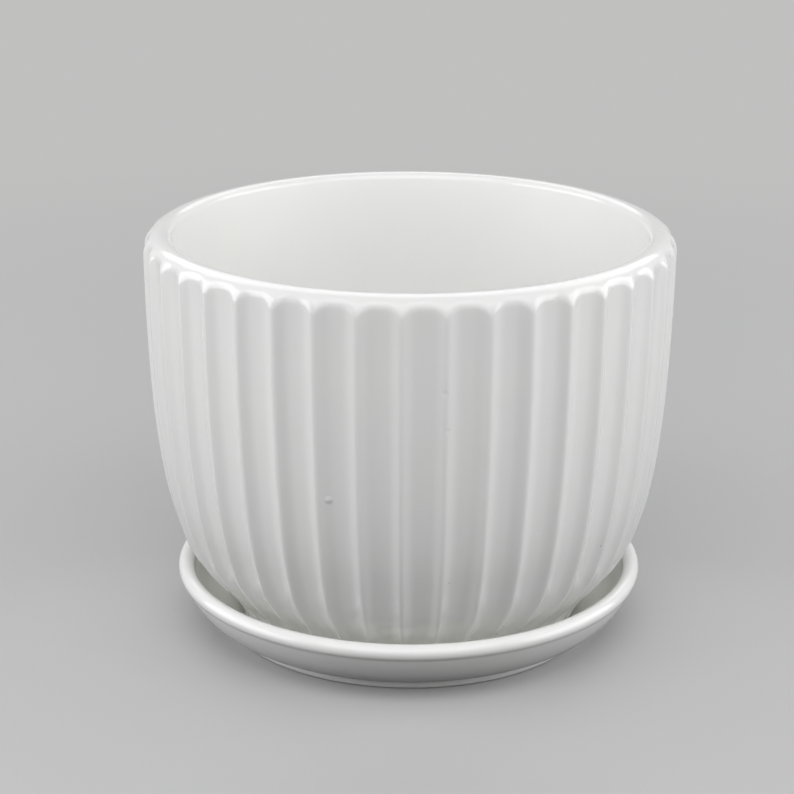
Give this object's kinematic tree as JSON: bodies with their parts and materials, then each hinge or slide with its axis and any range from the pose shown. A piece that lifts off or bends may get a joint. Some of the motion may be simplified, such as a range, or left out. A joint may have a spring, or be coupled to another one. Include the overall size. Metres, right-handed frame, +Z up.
{
  "type": "ceramic planter with saucer",
  "caption": "Round glazed ceramic plant pot with vertical flutes and a scalloped rim band, standing loose in a round drip saucer with a rolled rim.",
  "frame": {"origin": "on the shared axis of pot and saucer, in the plane that the saucer's foot ring rests on", "axes": "+Z up along the shared axis; -Y is the front, and a ridge stands 1.9 degrees towards -X from it"},
  "size_m": [0.1648, 0.165, 0.1291],
  "materials": {
    "pot_glaze": "glossy white glaze",
    "saucer_glaze": "glossy white glaze",
    "bare_clay": "unglazed fired clay on the foot rings"
  },
  "bodies": {
    "saucer": {"drip_saucer": "saucer_glaze"},
    "pot": {"plant_pot": "pot_glaze"}
  },
  "joints": [
    {"name": "pot_lift", "type": "slide", "parent": "saucer", "child": "pot", "axis": [0, 0, 1], "range_m": [0, 0.06]}
  ]
}
